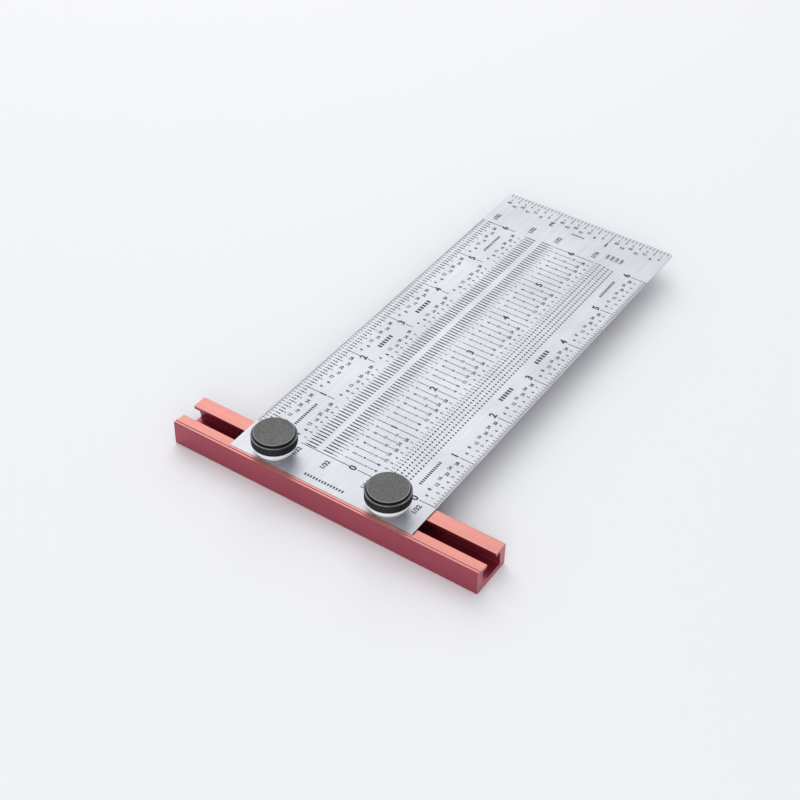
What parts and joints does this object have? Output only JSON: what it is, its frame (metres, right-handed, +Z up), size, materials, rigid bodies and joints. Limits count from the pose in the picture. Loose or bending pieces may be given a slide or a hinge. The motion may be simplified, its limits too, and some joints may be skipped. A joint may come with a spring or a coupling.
{
  "type": "marking t-rule",
  "caption": "Marking T-rule: a thin perforated steel rule blade clamped square across a short T-slot bar by knurled thumb knobs, for guiding a pencil through its slots.",
  "frame": {"origin": "centre of the T-bar's rear registration face, the face that rests against the workpiece's edge and is the zero line of the scales", "axes": "+X along the bar, +Y along the blade away from the bar, +Z up through the blade towards the knobs"},
  "size_m": [0.127, 0.1928, 0.0194],
  "materials": {
    "anodised_bar": "red anodised, satin",
    "steel_blade": "fine satin",
    "bolt_steel": "zinc plated",
    "white_foot": "moulded nylon",
    "black_knob": "moulded, knurled side",
    "brass_insert": "turned"
  },
  "bodies": {
    "bar": {"t_bar": "anodised_bar"},
    "blade": {"rule_blade": "steel_blade", "t_bolt_left": "bolt_steel", "t_bolt_right": "bolt_steel"},
    "foot_left": {"knob_foot_left": "white_foot"},
    "knob_left": {"knob_head_left": "black_knob", "knob_insert_left": "brass_insert"},
    "foot_right": {"knob_foot_right": "white_foot"},
    "knob_right": {"knob_head_right": "black_knob", "knob_insert_right": "brass_insert"}
  },
  "joints": [
    {"name": "blade_slide", "type": "slide", "parent": "bar", "child": "blade", "axis": [1, 0, 0], "range_m": [-0.0335, 0.0359]},
    {"name": "knob_lift_left", "type": "slide", "parent": "blade", "child": "foot_left", "axis": [0, 0, 1], "range_m": [0, 0.00159]},
    {"name": "knob_turn_left", "type": "hinge", "parent": "foot_left", "child": "knob_left", "pos_m": [-0.025, -0.0088, 0.01015], "axis": [0, 0, 1], "range_deg": [0, 720]},
    {"name": "knob_lift_right", "type": "slide", "parent": "blade", "child": "foot_right", "axis": [0, 0, 1], "range_m": [0, 0.00159]},
    {"name": "knob_turn_right", "type": "hinge", "parent": "foot_right", "child": "knob_right", "pos_m": [0.0226, -0.0088, 0.01015], "axis": [0, 0, 1], "range_deg": [0, 720]}
  ],
  "couplings": [
    {"joint": "knob_turn_left", "follows": "knob_lift_left", "rad_per_m": 7915.8},
    {"joint": "knob_turn_right", "follows": "knob_lift_right", "rad_per_m": 7915.8}
  ]
}
